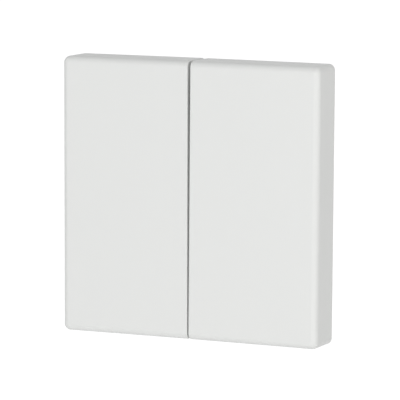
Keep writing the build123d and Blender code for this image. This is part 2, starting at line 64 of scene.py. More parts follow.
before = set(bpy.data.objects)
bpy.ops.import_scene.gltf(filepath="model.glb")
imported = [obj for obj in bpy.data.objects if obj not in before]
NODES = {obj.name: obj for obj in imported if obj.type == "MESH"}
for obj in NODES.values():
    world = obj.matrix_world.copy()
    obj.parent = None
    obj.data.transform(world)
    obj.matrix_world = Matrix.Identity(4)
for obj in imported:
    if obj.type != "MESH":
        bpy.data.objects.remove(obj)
# The frame's own box, before anything is dressed
CAD_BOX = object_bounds()
SIDES = ("left", "right")
DOMES = [f"{side}_{end}_dome" for side in SIDES for end in ("top", "bottom")]
MICRON = 0.000001
# Points closer than this are one point
WELD = 0.0000005
WHITE = (1.0, 1.0, 1.0, 1.0)


# Node and mesh helpers

def add_node(tree, kind, links=None, **settings):
    """Add a node, set its options, and link or set its inputs."""
    made = tree.nodes.new(kind)
    for key, value in settings.items():
        setattr(made, key, value)
    for socket, value in (links or {}).items():
        if isinstance(value, bpy.types.NodeSocket):
            tree.links.new(value, made.inputs[socket])
        else:
            made.inputs[socket].default_value = value
    return made


def output(tree, kind, links=None, **settings):
    """The first output of a new node."""
    return add_node(tree, kind, links, **settings).outputs[0]


def compute(tree, operation, *values):
    """The result of a Math node."""
    return output(tree, "ShaderNodeMath", dict(enumerate(values)), operation=operation)


def add_sockets(tree, direction, sockets):
    """Add sockets to a tree, each with its kind or default value. Returns their keys."""
    kinds = {float: "NodeSocketFloat", int: "NodeSocketInt"}
    keys = {}
    for label, value in sockets.items():
        kind = kinds.get(type(value), value)
        socket = tree.interface.new_socket(label, in_out=direction, socket_type=kind)
        if kind != value:
            socket.default_value = value
        keys[label] = socket.identifier
    return keys


def new_object(name, mesh):
    """Link a new object at the origin."""
    made = bpy.data.objects.new(name, mesh)
    bpy.context.scene.collection.objects.link(made)
    return made


def shade_by_angle(mesh, angle):
    """Shade smooth, with edges sharper than the angle kept sharp."""
    mesh.polygons.foreach_set("use_smooth", [True] * len(mesh.polygons))
    mesh.set_sharp_from_angle(angle=angle)


def settle(piece):
    """Turn the piece's modifiers into a plain mesh."""
    graph = bpy.context.evaluated_depsgraph_get()
    mesh = bpy.data.meshes.new_from_object(
        piece.evaluated_get(graph), preserve_all_data_layers=True, depsgraph=graph
    )
    piece.modifiers.clear()
    piece.data = mesh
    mesh.name = piece.name
    return piece


def even_normals(piece):
    """Let the large flat faces set the shading beside small rounds, then settle the mesh."""
    weighted = piece.modifiers.new("even_normals", "WEIGHTED_NORMAL")
    weighted.keep_sharp = True
    return settle(piece)


def combine(piece, tool, operation):
    """Join a tool's form to the piece or cut it out, and remove the tool."""
    change = piece.modifiers.new("change", "BOOLEAN")
    change.operation = operation
    change.object = tool
    settle(piece)
    bpy.data.objects.remove(tool)
    return piece


def painted(piece, finish):
    """The piece with this finish."""
    piece.data.materials.append(finish_of(finish))
    return piece


def place(piece, slot, node=None, finish=None, body="base"):
    """Finish the piece if it is bare, and let it ride on its body, in place of a frame node."""
    if not piece.data.materials:
        painted(piece, finish or slot)
    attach(piece, body)
    if node:
        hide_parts(node)


def dress_node(node, finish):
    """Give a frame node its finish."""
    if not NODES[node].material_slots:
        NODES[node].data.materials.append(finish_of(finish))
    for entry in NODES[node].material_slots:
        entry.material = finish_of(finish)


def bare_mesh(node, flatten=False):
    """A frame node's mesh, welded, without its stored normals, with its flats whole if asked."""
    mesh = NODES[node].data.copy()
    mesh.materials.clear()
    shape = bmesh.new()
    shape.from_mesh(mesh)
    bmesh.ops.remove_doubles(shape, verts=shape.verts, dist=WELD)
    if flatten:
        bmesh.ops.dissolve_limit(
            shape, angle_limit=math.radians(1), verts=shape.verts, edges=shape.edges
        )
    shape.to_mesh(mesh)
    shape.free()
    stored = mesh.attributes.get("custom_normal")
    if stored:
        mesh.attributes.remove(stored)
    return mesh


def place_eased_copy(node, name, ease, slot, body="base"):
    """Place a welded copy of a frame node whose sharp edges get a small real round."""
    piece = new_object(name, bare_mesh(node, flatten=True))
    rounds = piece.modifiers.new("rounds", "BEVEL")
    rounds.width = ease
    rounds.segments = 2
    rounds.limit_method = "ANGLE"
    rounds.angle_limit = math.radians(30)
    rounds.use_clamp_overlap = True
    settle(piece)
    shade_by_angle(piece.data, math.radians(50))
    place(even_normals(piece), slot, node, body=body)


def finish_shape(shape, name):
    """Turn an edited shape into an object with outward faces."""
    bmesh.ops.recalc_face_normals(shape, faces=shape.faces[:])
    mesh = bpy.data.meshes.new(name)
    shape.to_mesh(mesh)
    shape.free()
    shade_by_angle(mesh, math.radians(40))
    return new_object(name, mesh)


def eased_block(low, high, ease, finish=None, segments=2):
    """A block between two corners with rounded edges."""
    shape = bmesh.new()
    bmesh.ops.create_cube(shape, size=1.0)
    size = Vector(high) - Vector(low)
    middle = (Vector(high) + Vector(low)) / 2
    for vert in shape.verts:
        vert.co = Vector(a * b for a, b in zip(vert.co, size)) + middle
    if ease:
        bmesh.ops.bevel(
            shape, geom=shape.edges[:], offset=ease, segments=segments, affect="EDGES", profile=0.5
        )
    block = finish_shape(shape, "block")
    return painted(block, finish) if finish else block


def join_meshes(name, pieces):
    """Join pieces, each of one material or none, into one mesh that keeps their materials."""
    materials = []
    shape = bmesh.new()
    for piece in pieces:
        start = len(shape.faces)
        shape.from_mesh(piece.data)
        shape.faces.ensure_lookup_table()
        for material in piece.data.materials:
            if material not in materials:
                materials.append(material)
            for face in shape.faces[start:]:
                face.material_index = materials.index(material)
        bpy.data.objects.remove(piece)
    mesh = bpy.data.meshes.new(name)
    shape.to_mesh(mesh)
    shape.free()
    for material in materials:
        mesh.materials.append(material)
    return new_object(name, mesh)


def rounded_outline(width, height, corner, steps):
    """The points of a rounded rectangle about the origin, in order."""
    points = []
    for index, (sx, sy) in enumerate(((1, 1), (-1, 1), (-1, -1), (1, -1))):
        x, y = sx * (width / 2 - corner), sy * (height / 2 - corner)
        for step in range(steps + 1):
            angle = math.radians(90) * (index + step / steps)
            points.append((x + corner * math.cos(angle), y + corner * math.sin(angle)))
    return points


def loft(name, rings, closed=False):
    """Join rings of points with quads, and cap the ends unless the rings close on themselves."""
    shape = bmesh.new()
    made = [[shape.verts.new(point) for point in ring] for ring in rings]
    pairs = list(zip(made, made[1:]))
    if closed:
        pairs.append((made[-1], made[0]))
    for first, second in pairs:
        for index, vert in enumerate(first):
            following = (index + 1) % len(first)
            shape.faces.new((vert, first[following], second[following], second[index]))
    if not closed:
        shape.faces.new(made[0])
        shape.faces.new(made[-1])
    return finish_shape(shape, name)


def lathe(name, profile, segments, centre=(0, 0, 0)):
    """Turn a profile of (radius, height) about an axis that points to the front."""
    x, y, z = centre
    angles = [math.tau * step / segments for step in range(segments)]
    return loft(name, [
        [(x + out * math.cos(angle), y - up, z + out * math.sin(angle)) for angle in angles]
        for out, up in profile
    ])


def ring_between(name, outer, inner, start, end, steps, spot):
    """A closed ring between two rounded outlines, with its points set out by the function spot."""
    corners = ((outer, start), (outer, end), (inner, end), (inner, start))
    return loft(name, [
        [spot(x, y, level) for x, y in rounded_outline(*outline, steps)]
        for outline, level in corners
    ], closed=True)


# Geometry node trees

def new_tree(name, inputs):
    """A geometry tree with named inputs. Returns it, its inputs' sockets and their keys."""
    tree = bpy.data.node_groups.new(name, "GeometryNodeTree")
    tree.is_modifier = True
    geometry = {"Geometry": "NodeSocketGeometry"}
    keys = add_sockets(tree, "INPUT", {**geometry, **inputs, "Material": "NodeSocketMaterial"})
    add_sockets(tree, "OUTPUT", geometry)
    return tree, add_node(tree, "NodeGroupInput").outputs, keys


def end_tree(tree, source, geometry, smooth=False):
    """End a tree in real, painted faces."""
    if smooth:
        geometry = output(tree, "GeometryNodeSetShadeSmooth", {"Geometry": geometry})
    real = output(tree, "GeometryNodeRealizeInstances", {"Geometry": geometry})
    final = output(
        tree, "GeometryNodeSetMaterial", {"Geometry": real, "Material": source["Material"]}
    )
    add_node(tree, "NodeGroupOutput", {"Geometry": final})


def bent_path(tree, curve, steps, radius):
    """A path with its corners bent round."""
    values = {"Curve": curve, "Count": steps, "Radius": radius, "Limit Radius": True}
    return output(tree, "GeometryNodeFilletCurve", values, mode="POLY")


def sweep(tree, path, radius, sides):
    """A solid of this radius along a path."""
    values = {"Resolution": sides, "Radius": radius}
    section = output(tree, "GeometryNodeCurvePrimitiveCircle", values)
    values = {"Curve": path, "Profile Curve": section, "Fill Caps": True}
    return output(tree, "GeometryNodeCurveToMesh", values)


def scatter_tree():
    """Copies of one shape stand on the mesh's points, each turned by the points' own angle."""
    tree, source, keys = new_tree("copies_on_points", {"Shape": "NodeSocketObject"})
    shape = add_node(tree, "GeometryNodeObjectInfo", {"Object": source["Shape"]})
    turn = add_node(tree, "GeometryNodeInputNamedAttribute", {"Name": "turn"}, data_type="FLOAT")
    angles = output(tree, "ShaderNodeCombineXYZ", {"Y": turn.outputs["Attribute"]})
    copies = output(tree, "GeometryNodeInstanceOnPoints", {
        "Points": source["Geometry"], "Instance": shape.outputs["Geometry"],
        "Rotation": output(tree, "FunctionNodeEulerToRotation", {"Euler": angles}),
    })
    end_tree(tree, source, copies)
    return tree, keys


def winding_tree():
    """Turns of wire, laid side by side round a rounded rectangle about the vertical axis."""
    tree, source, keys = new_tree("winding_turns", {
        "Length": 0.013, "Width": 0.005, "Depth": 0.005, "Corner": 0.001,
        "Wire": 0.0002, "Turns": 40, "Corner Steps": 5,
    })
    half = compute(tree, "MULTIPLY", source["Length"], 0.5)
    start, end = (
        output(tree, "ShaderNodeCombineXYZ", {"Z": level})
        for level in (compute(tree, "MULTIPLY", half, -1.0), half)
    )
    line = output(tree, "GeometryNodeCurvePrimitiveLine", {"Start": start, "End": end})
    values = {"Curve": line, "Count": source["Turns"]}
    points = output(tree, "GeometryNodeCurveToPoints", values, mode="COUNT")
    values = {"Width": source["Width"], "Height": source["Depth"]}
    outline = output(tree, "GeometryNodeCurvePrimitiveQuadrilateral", values)
    path = bent_path(tree, outline, source["Corner Steps"], source["Corner"])
    turn = sweep(tree, path, compute(tree, "MULTIPLY", source["Wire"], 0.5), 6)
    values = {"Points": points, "Instance": turn}
    end_tree(tree, source, output(tree, "GeometryNodeInstanceOnPoints", values), smooth=True)
    return tree, keys


def helix_tree(name, steps, sides, smooth):
    """A ridge or wire that climbs round the front axis, such as a thread or a wrapped wire."""
    tree, source, keys = new_tree(
        name, {"Radius": 0.00036, "Thickness": 0.00006, "Height": 0.00036, "Turns": 3.0}
    )
    path = output(tree, "GeometryNodeCurveSpiral", {
        "Resolution": steps, "Rotations": source["Turns"], "Start Radius": source["Radius"],
        "End Radius": source["Radius"], "Height": source["Height"],
    })
    turned = output(tree, "GeometryNodeTransform", {
        "Geometry": sweep(tree, path, source["Thickness"], sides),
        "Rotation": (math.radians(90), 0.0, 0.0),
    })
    end_tree(tree, source, turned, smooth)
    return tree, keys


def wire_tree():
    """Round wire along the mesh's edges, with its corners bent round."""
    tree, source, keys = new_tree("wire_run", {"Wire": 0.00012, "Bend": 0.0003})
    run = output(tree, "GeometryNodeMeshToCurve", {"Mesh": source["Geometry"]})
    path = bent_path(tree, run, 5, source["Bend"])
    radius = compute(tree, "MULTIPLY", source["Wire"], 0.5)
    end_tree(tree, source, sweep(tree, path, radius, 8), smooth=True)
    return tree, keys


def grow(name, tree_parts, finish, values, mesh=None):
    """Run a tree on a mesh with these input values and keep the plain mesh."""
    tree, keys = tree_parts
    piece = new_object(name, mesh or bpy.data.meshes.new(name))
    modifier = piece.modifiers.new(name, "NODES")
    modifier.node_group = tree
    modifier[keys["Material"]] = finish_of(finish)
    for label, value in values.items():
        modifier[keys[label]] = value
    return settle(piece)


def place_copies(name, master, slot, spots, turns=None, node=None):
    """Place copies of a shape on these spots, each with its turn about the front axis."""
    mesh = bpy.data.meshes.new(f"{name}_spots")
    mesh.from_pydata(spots, [], [])
    attribute = mesh.attributes.new("turn", "FLOAT", "POINT")
    attribute.data.foreach_set("value", turns or [0.0] * len(spots))
    piece = grow(name, SCATTER, slot, {"Shape": master}, mesh)
    bpy.data.objects.remove(master)
    place(piece, slot, node)


# Finishes

def new_group(name, inputs, outputs):
    """A shader group with a position and numbers. Returns it and its inputs' sockets."""
    group = bpy.data.node_groups.new(name, "ShaderNodeTree")
    add_sockets(group, "INPUT", {"Position": "NodeSocketVector", **inputs})
    add_sockets(group, "OUTPUT", dict.fromkeys(outputs, "NodeSocketFloat"))
    return group, add_node(group, "NodeGroupInput").outputs


def noise(tree, position, scale, **values):
    """A noise pattern between 0 and 1."""
    return output(tree, "ShaderNodeTexNoise", {"Vector": position, "Scale": scale, **values})


def grain_group():
    """Fine spark-eroded grain with a slow drift of tone and gloss, as on moulded plastic."""
    group, source = new_group("moulded_grain", {"Fine": 5000.0, "Drift": 90.0}, ("Height", "Tone"))
    fine = noise(group, source["Position"], source["Fine"], Detail=3.0, Roughness=0.6)
    drift = noise(group, source["Position"], source["Drift"])
    add_node(group, "NodeGroupOutput", {"Height": fine, "Tone": drift})
    return group


def streak_group():
    """Rolling or drawing streaks along one direction, with patches of tone."""
    group, source = new_group(
        "drawn_streaks", {"Fine": 2500.0, "Stretch": 0.06}, ("Height", "Tone")
    )
    size = output(group, "ShaderNodeCombineXYZ", {"X": 1.0, "Y": 1.0, "Z": source["Stretch"]})
    values = {0: source["Position"], 1: size}
    scaled = output(group, "ShaderNodeVectorMath", values, operation="MULTIPLY")
    streaks = noise(group, scaled, source["Fine"], Detail=4.0)
    patches = noise(group, source["Position"], 300.0)
    add_node(group, "NodeGroupOutput", {"Height": streaks, "Tone": patches})
    return group


def track_group():
    """Copper tracks under solder mask: patches of parallel lines that run up or across."""
    group, source = new_group("board_tracks", {"Pitch": 0.0011}, ("Copper",))
    patch_scale, line_share, bare_share = 0.22, 0.42, 0.3
    values = {0: source["Position"], "Scale": compute(group, "DIVIDE", 1.0, source["Pitch"])}
    scaled = output(group, "ShaderNodeVectorMath", values, operation="SCALE")
    parts = add_node(group, "ShaderNodeSeparateXYZ", {"Vector": scaled}).outputs
    flat = output(group, "ShaderNodeCombineXYZ", {"X": parts["X"], "Y": parts["Z"]})
    patches = add_node(
        group, "ShaderNodeTexVoronoi", {"Vector": flat, "Scale": patch_scale, "Randomness": 0.8},
        distance="CHEBYCHEV", voronoi_dimensions="2D",
    )
    chosen = add_node(group, "ShaderNodeSeparateColor", {"Color": patches.outputs["Color"]}).outputs
    upright = compute(group, "GREATER_THAN", chosen[0], 0.5)
    along = output(group, "ShaderNodeMix", {0: upright, 2: parts["X"], 3: parts["Z"]})
    line = compute(group, "LESS_THAN", compute(group, "FRACT", along), line_share)
    used = compute(group, "GREATER_THAN", chosen[1], bare_share)
    add_node(group, "NodeGroupOutput", {"Copper": compute(group, "MULTIPLY", line, used)})
    return group


def empty_tree(owner):
    """The node tree of a material or world, with nothing in it."""
    owner.use_nodes = True
    owner.node_tree.nodes.clear()
    return owner.node_tree


def new_material(name):
    """A new material. Returns it with its tree and the object's coordinates."""
    material = bpy.data.materials.new(name)
    tree = empty_tree(material)
    return material, tree, add_node(tree, "ShaderNodeTexCoord").outputs["Object"]


def end_material(material, inputs):
    """End a material in a shader with these inputs."""
    tree = material.node_tree
    surface = output(tree, "ShaderNodeBsdfPrincipled", inputs)
    add_node(tree, "ShaderNodeOutputMaterial", {"Surface": surface})
    return material


def mix_colours(tree, factor, first, second):
    """A colour between two, each given as a socket or three numbers, by a factor."""
    first, second = (
        entry if isinstance(entry, bpy.types.NodeSocket) else (*entry, 1.0)
        for entry in (first, second)
    )
    mixed = add_node(tree, "ShaderNodeMix", {0: factor, 6: first, 7: second}, data_type="RGBA")
    return mixed.outputs[2]


def raised(tree, height, depth):
    """A normal from a height, with its depth in metres."""
    return output(tree, "ShaderNodeBump", {"Height": height, "Distance": depth})


def pattern_inputs(tree, position, group, rough, depth, fine):
    """A pattern's tone, with the gloss and the surface that follow the pattern."""
    pattern = add_node(
        tree, "ShaderNodeGroup", {"Position": position, "Fine": fine}, node_tree=group
    ).outputs
    gloss = output(tree, "ShaderNodeMapRange", {
        "Value": pattern["Tone"],
        "From Min": 0.3, "From Max": 0.7, "To Min": rough[0], "To Max": rough[1],
    })
    normal = raised(tree, pattern["Height"], depth)
    return pattern["Tone"], {"Roughness": gloss, "Normal": normal}


def patterned(name, group, colour, shade, rough, depth, fine, constants=None):
    """A finish whose colour, gloss and surface follow one pattern group."""
    material, tree, position = new_material(name)
    tone, inputs = pattern_inputs(tree, position, group, rough, depth * MICRON, fine)
    dark = [part * (1 - shade) for part in colour]
    inputs["Base Color"] = mix_colours(tree, tone, dark, colour)
    return end_material(material, {**inputs, **(constants or {})})


def board_material(colours):
    """Green solder mask over tracks, with the laminate's own colour on the cut edges."""
    material, tree, position = new_material("board_laminate")
    laminate, mask_rough, edge_rough, track_rise = (0.45, 0.42, 0.22), 0.28, 0.75, 0.00002
    brighter = [part * 1.7 for part in colours.mask]
    copper = output(tree, "ShaderNodeGroup", {"Position": position}, node_tree=TRACKS)
    mask = mix_colours(tree, copper, colours.mask, brighter)
    face = add_node(tree, "ShaderNodeNewGeometry").outputs["Normal"]
    away = add_node(tree, "ShaderNodeSeparateXYZ", {"Vector": face}).outputs["Y"]
    edge = compute(tree, "LESS_THAN", compute(tree, "ABSOLUTE", away), 0.5)
    return end_material(material, {
        "Base Color": mix_colours(tree, edge, mask, laminate),
        "Roughness": output(tree, "ShaderNodeMix", {0: edge, 2: mask_rough, 3: edge_rough}),
        "Normal": raised(tree, copper, track_rise),
    })


def capacitor_material(body):
    """Moulded resin with one printed band near the top, which marks the polarity."""
    material, tree, position = new_material("capacitor_resin")
    _, inputs = pattern_inputs(tree, position, GRAIN, (0.42, 0.6), 0.00001, 7000.0)
    band, shares = (0.30, 0.12, 0.03), (0.78, 0.90)
    low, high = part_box("storage_capacitors")
    start, end = (low.z + (high.z - low.z) * share for share in shares)
    height = add_node(tree, "ShaderNodeSeparateXYZ", {"Vector": position}).outputs["Z"]
    after = compute(tree, "GREATER_THAN", height, start)
    inside = compute(tree, "MULTIPLY", after, compute(tree, "LESS_THAN", height, end))
    inputs["Base Color"] = mix_colours(tree, inside, body, band)
    return end_material(material, inputs)


def make_finishes(colours):
    """Every finish by the name of the part's own material."""
    metal = {"Metallic": 1.0}
    enamel = {"Metallic": 0.75, "Coat Weight": 0.6, "Coat Roughness": 0.15}
    resin_glow = {"Subsurface Weight": 0.12, "Subsurface Scale": 0.0008}
    rubber_glow = {"Subsurface Weight": 0.3, "Subsurface Scale": 0.001}
    # Name, pattern, colour, shade, gloss, depth of the grain in microns, fineness, other values
    rows = (
        ("rocker_plastic", GRAIN, colours.rocker, 0.012, (0.40, 0.48), 1.5, 5200),
        ("plate_plastic", GRAIN, colours.plate, 0.03, (0.55, 0.68), 6, 4200),
        ("tray_plastic", GRAIN, colours.tray, 0.03, (0.52, 0.66), 6, 4200),
        ("cover_plastic", GRAIN, colours.cover, 0.10, (0.50, 0.64), 8, 3800),
        ("chip_resin", GRAIN, (0.022, 0.022, 0.025), 0.2, (0.45, 0.6), 8, 9000),
        ("bobbin_resin", GRAIN, (0.025, 0.025, 0.028), 0.2, (0.3, 0.45), 6, 6000),
        ("lever_resin", GRAIN, colours.lever, 0.05, (0.32, 0.44), 4, 4800, resin_glow),
        ("dome_silicone", GRAIN, colours.dome, 0.06, (0.38, 0.5), 5, 5200, rubber_glow),
        ("contact_carbon", GRAIN, (0.03, 0.03, 0.03), 0.2, (0.55, 0.7), 10, 8000),
        ("screw_steel", STREAKS, (0.66, 0.66, 0.64), 0.12, (0.24, 0.38), 3, 3000, metal),
        ("core_steel", STREAKS, (0.48, 0.48, 0.49), 0.2, (0.32, 0.5), 4, 2500, metal),
        ("magnet_plate", STREAKS, (0.78, 0.77, 0.74), 0.08, (0.16, 0.28), 2, 1800, metal),
        ("crystal_can", STREAKS, (0.72, 0.70, 0.66), 0.1, (0.22, 0.34), 2, 2600, metal),
        ("pin_tin", GRAIN, (0.74, 0.74, 0.72), 0.12, (0.22, 0.36), 6, 1500, metal),
        ("antenna_strip", STREAKS, (0.80, 0.66, 0.40), 0.12, (0.22, 0.36), 3, 2500, metal),
        ("coil_wire", GRAIN, colours.wire, 0.35, (0.24, 0.36), 2, 3000, enamel),
        ("board_ink", GRAIN, (0.78, 0.78, 0.74), 0.08, (0.55, 0.7), 3, 9000),
        ("print_grey", GRAIN, (0.55, 0.55, 0.53), 0.1, (0.5, 0.65), 4, 9000),
    )
    made = {row[0]: patterned(*row) for row in rows}
    made["board_laminate"] = board_material(colours)
    made["capacitor_resin"] = capacitor_material(colours.capacitor)
    return made


GRAIN = grain_group()
STREAKS = streak_group()
TRACKS = track_group()
SCATTER = scatter_tree()
WINDING = winding_tree()
FINISHES = {}


def finish_of(name):
    """A finish by its name. All are made on first use, from the colours in the settings."""
    if not FINISHES:
        FINISHES.update(make_finishes(bpy.context.scene.switch_settings.colours))
    return FINISHES[name]


# Settings that a user would change

def a_number(label, words, default, low, high, **kind):
    """A number that a user can change."""
    return FloatProperty(name=label, description=words, default=default, min=low, max=high, **kind)


def a_length(*settings):
    """A length that a user can change."""
    return a_number(*settings, unit="LENGTH")


def an_angle(label, words, degrees, low=-180, high=180):
    """An angle that a user can change."""
    return a_number(label, words, *map(math.radians, (degrees, low, high)), subtype="ANGLE")


def a_colour(part, default):
    """A colour that a user can change."""
    return FloatVectorProperty(
        name=part.title(), description=f"Colour of the {part}", default=default, size=3,
        min=0.0, max=1.0, subtype="COLOR",
    )


class SwitchSizes(bpy.types.PropertyGroup):
    """Sizes of the fine detail that the frame leaves out."""

    left_skew: an_angle("Left Skew", "Turn of the left cap within the play of its hooks", -0.18)
    right_skew: an_angle("Right Skew", "Turn of the right cap within the play of its hooks", 0.12)
    crease: an_angle("Crease Angle", "Edges sharper than this stay sharp", 32, 0)
    moulded_edge: a_length(
        "Moulded Edge", "Round along the edges of the moulded pieces", 0.00014, 0.0, 0.0005
    )
    wire: a_length("Wire", "Thickness of the winding's wire", 0.0002, 0.00005, 0.0005)
    thread_pitch: a_length(
        "Thread Pitch", "Rise of one turn of the screws' thread", 0.0007, 0.0003, 0.002
    )
    lead_pitch: a_length("Lead Pitch", "Distance between the chip's leads", 0.0005, 0.0003, 0.001)
    corner_steps: IntProperty(
        name="Corner Steps", description="Steps in each corner of the winding",
        default=5, min=2, max=12,
    )


class SwitchColours(bpy.types.PropertyGroup):
    """Colours of the switch's finishes."""

    rocker: a_colour("rocker caps", (0.80, 0.81, 0.80))
    plate: a_colour("wall plate", (0.74, 0.74, 0.73))
    tray: a_colour("carrier tray", (0.62, 0.63, 0.63))
    cover: a_colour("module cover", (0.035, 0.036, 0.040))
    lever: a_colour("rocking levers", (0.76, 0.74, 0.66))
    dome: a_colour("contact domes", (0.42, 0.43, 0.44))
    mask: a_colour("solder mask", (0.012, 0.105, 0.045))
    wire: a_colour("winding", (0.62, 0.20, 0.07))
    capacitor: a_colour("capacitors", (0.66, 0.36, 0.05))


class SwitchStudio(bpy.types.PropertyGroup):
    """The camera, the lamps and the floor."""

    azimuth: an_angle("Azimuth", "How far the camera stands to the right of the front", 24.64)
    elevation: an_angle("Elevation", "How far the camera stands above the front", 7.26)
    roll: an_angle("Roll", "Turn of the camera about its own axis", 0.288)
    distance: a_length("Distance", "From the camera to the middle of the front", 0.6685, 0.1, 5.0)
    lens: a_number("Lens", "Focal length in millimetres", 307.48, 20.0, 800.0)
    floor_drop: a_length("Floor", "How far the floor lies under the middle", 0.2, 0.03, 0.5)
    room: a_number("Room Light", "Strength of the even light from all sides", 0.498, 0.0, 2.0)
    side: a_number("Side Lamp", "Power of the soft lamp on the right, in watts", 3.44, 0.0, 200.0)
    low: a_number("Low Lamp", "Power of the soft lamp low in front, in watts", 2.39, 0.0, 200.0)
    lamp_size: a_length("Lamp Size", "Width of each soft lamp", 0.5, 0.05, 3.0)


class SwitchSettings(bpy.types.PropertyGroup):
    """All settings of the switch."""

    sizes: PointerProperty(type=SwitchSizes)
    colours: PointerProperty(type=SwitchColours)
    studio: PointerProperty(type=SwitchStudio)


# Rockers, tray and cover

class SWITCH_OT_rocker_caps(bpy.types.Operator):
    """Dress the two rocker caps in satin moulded plastic"""

    bl_idname = "switch.rocker_caps"
    bl_label = "Rocker Caps"

    def execute(self, context):
        sizes = context.scene.switch_settings.sizes
        for side, skew in zip(SIDES, (sizes.left_skew, sizes.right_skew)):
            node = f"{side}_rocker_cap"
            cap = new_object(f"{side}_cap", bare_mesh(node))
            shade_by_angle(cap.data, sizes.crease)
            even_normals(cap)
            low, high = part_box(node)
            middle = Matrix.Translation((low + high) / 2)
            cap.data.transform(middle @ Matrix.Rotation(skew, 4, "Y") @ middle.inverted())
            place(cap, "rocker_plastic", node, body=f"{side}_rocker")
        return {"FINISHED"}


class SWITCH_OT_mounting(bpy.types.Operator):
    """Dress the wall plate and the carrier tray"""

    bl_idname = "switch.mounting"
    bl_label = "Wall Plate and Tray"

    def execute(self, context):
        sizes = context.scene.switch_settings.sizes
        for node, slot in (("wall_plate", "plate_plastic"), ("carrier_tray", "tray_plastic")):
            place_eased_copy(node, f"{node}_moulding", sizes.moulded_edge, slot)
        return {"FINISHED"}


# The screw heads' radius
SCREW_HEAD_R = 0.0019


def cross_recess(radius, width, depth):
    """The form that presses the cross into a screw's head."""
    bars = [
        eased_block((-x, -depth, -z), (x, depth, z), 0)
        for x, z in ((width / 2, radius), (radius, width / 2))
    ]
    return combine(*bars, "UNION")


def screw_shape(tall, pitch):
    """One screw about the origin, its head's top at the origin and its tip behind."""
    head_height, shank_r, ease, axis = 0.0008, 0.00088, 0.00018, 0.00002
    profile = (
        (axis, -tall), (shank_r * 0.45, -tall), (shank_r, -tall + shank_r * 0.8),
        (shank_r, -head_height), (SCREW_HEAD_R - ease / 2, -head_height),
        (SCREW_HEAD_R, -head_height + ease / 2), (SCREW_HEAD_R, -ease),
        (SCREW_HEAD_R - ease * 0.3, -ease * 0.3), (SCREW_HEAD_R - ease, 0.0), (axis, 0.0),
    )
    recess = cross_recess(radius=0.0011, width=0.0005, depth=0.0005)
    screw = combine(lathe("screw_blank", profile, 40), recess, "DIFFERENCE")
    shade_by_angle(screw.data, math.radians(35))
    run = tall - head_height - shank_r
    values = {"Radius": shank_r, "Thickness": 0.00021, "Height": run, "Turns": run / pitch}
    helix = helix_tree("screw_thread", steps=16, sides=3, smooth=False)
    thread = grow("thread", helix, "screw_steel", values)
    thread.data.transform(Matrix.Translation((0, head_height + run, 0)))
    return join_meshes("screw_master", [painted(screw, "screw_steel"), thread])


class SWITCH_OT_cover(bpy.types.Operator):
    """Dress the module cover and make its four screws"""

    bl_idname = "switch.cover"
    bl_label = "Cover and Screws"

    def execute(self, context):
        sizes = context.scene.switch_settings.sizes
        place_eased_copy("module_cover", "module_lid", sizes.moulded_edge, "cover_plastic")
        low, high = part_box("cover_screws")
        reach = high.x - SCREW_HEAD_R
        spots = [(sx * reach, low.y, sz * reach) for sx in (-1, 1) for sz in (-1, 1)]
        turns = [math.radians(angle) for angle in (12, 71, 38, 55)]
        master = screw_shape(high.y - low.y, sizes.thread_pitch)
        place_copies("lid_screws", master, "screw_steel", spots, turns, "cover_screws")
        return {"FINISHED"}


# Circuit board

def contact_comb(centre, radius, front):
    """The gold fingers under a dome, printed on the board."""
    pitch, rise, sink = radius / 3, 0.00003, 0.00002
    bars = []
    for index in range(-2, 3):
        x = centre.x + index * pitch
        reach = math.sqrt(radius**2 - (index * pitch) ** 2)
        low = (x - pitch * 0.3, front - rise, centre.z - reach)
        high = (x + pitch * 0.3, front + sink, centre.z + reach)
        bars.append(eased_block(low, high, 0))
    return bars


def printed_frames(front):
    """Ink lines on the board round the chip, the crystal and the capacitors."""
    margin, line, thick, corner = 0.0003, 0.00014, 0.000015, 0.0003
    frames = []
    for low, high in map(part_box, ("radio_chip", "crystal", "storage_capacitors")):
        width, height = high.x - low.x + 2 * margin, high.z - low.z + 2 * margin
        centre = (low.x + high.x) / 2, (low.z + high.z) / 2
        frames.append(ring_between(
            "frame", (width + 2 * line, height + 2 * line, corner + line), (width, height, corner),
            front - thick, front + thick, 3,
            lambda x, z, level: (centre[0] + x, level, centre[1] + z),
        ))
    return join_meshes("printed_frames", frames)


class SWITCH_OT_board(bpy.types.Operator):
    """Dress the board with its mask, contact fingers, vias, printed lines and test pads"""

    bl_idname = "switch.board"
    bl_label = "Circuit Board"

    def execute(self, context):
        dress_node("circuit_board", "board_laminate")
        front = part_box("circuit_board")[0].y
        comb_radius, via_pitch = 0.0019, 0.0031
        combs = []
        for low, high in map(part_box, DOMES):
            combs += contact_comb((low + high) / 2, comb_radius, front)
        place(join_meshes("contact_fingers", combs), "antenna_strip")
        profile = ((0.00013, 0.0), (0.00013, 0.00003), (0.00028, 0.00003), (0.00032, 0.0))
        via = lathe("via", profile, 12)
        spots = []
        for index in range(7):
            for height, zigzag, spread in ((0.0122, 0.0011, 1.0), (-0.0121, -0.0007, 0.93)):
                x = (index - 3) * via_pitch * spread
                spots.append((x, front, height + zigzag * (index % 2)))
        place_copies("board_vias", via, "pin_tin", spots)
        place(printed_frames(front), "board_laminate", finish="board_ink")
        pad = lathe("pad", ((0.00045, -0.00002), (0.00045, 0.00001), (0.00042, 0.00002)), 24)
        rows, columns = (-0.0092, -0.0072, 0.0072, 0.0092), (-0.0012, 0.0012)
        spots = [(x, front, z) for x in columns for z in rows]
        place_copies("test_pads", pad, "antenna_strip", spots)
        return {"FINISHED"}


# Parts on the board

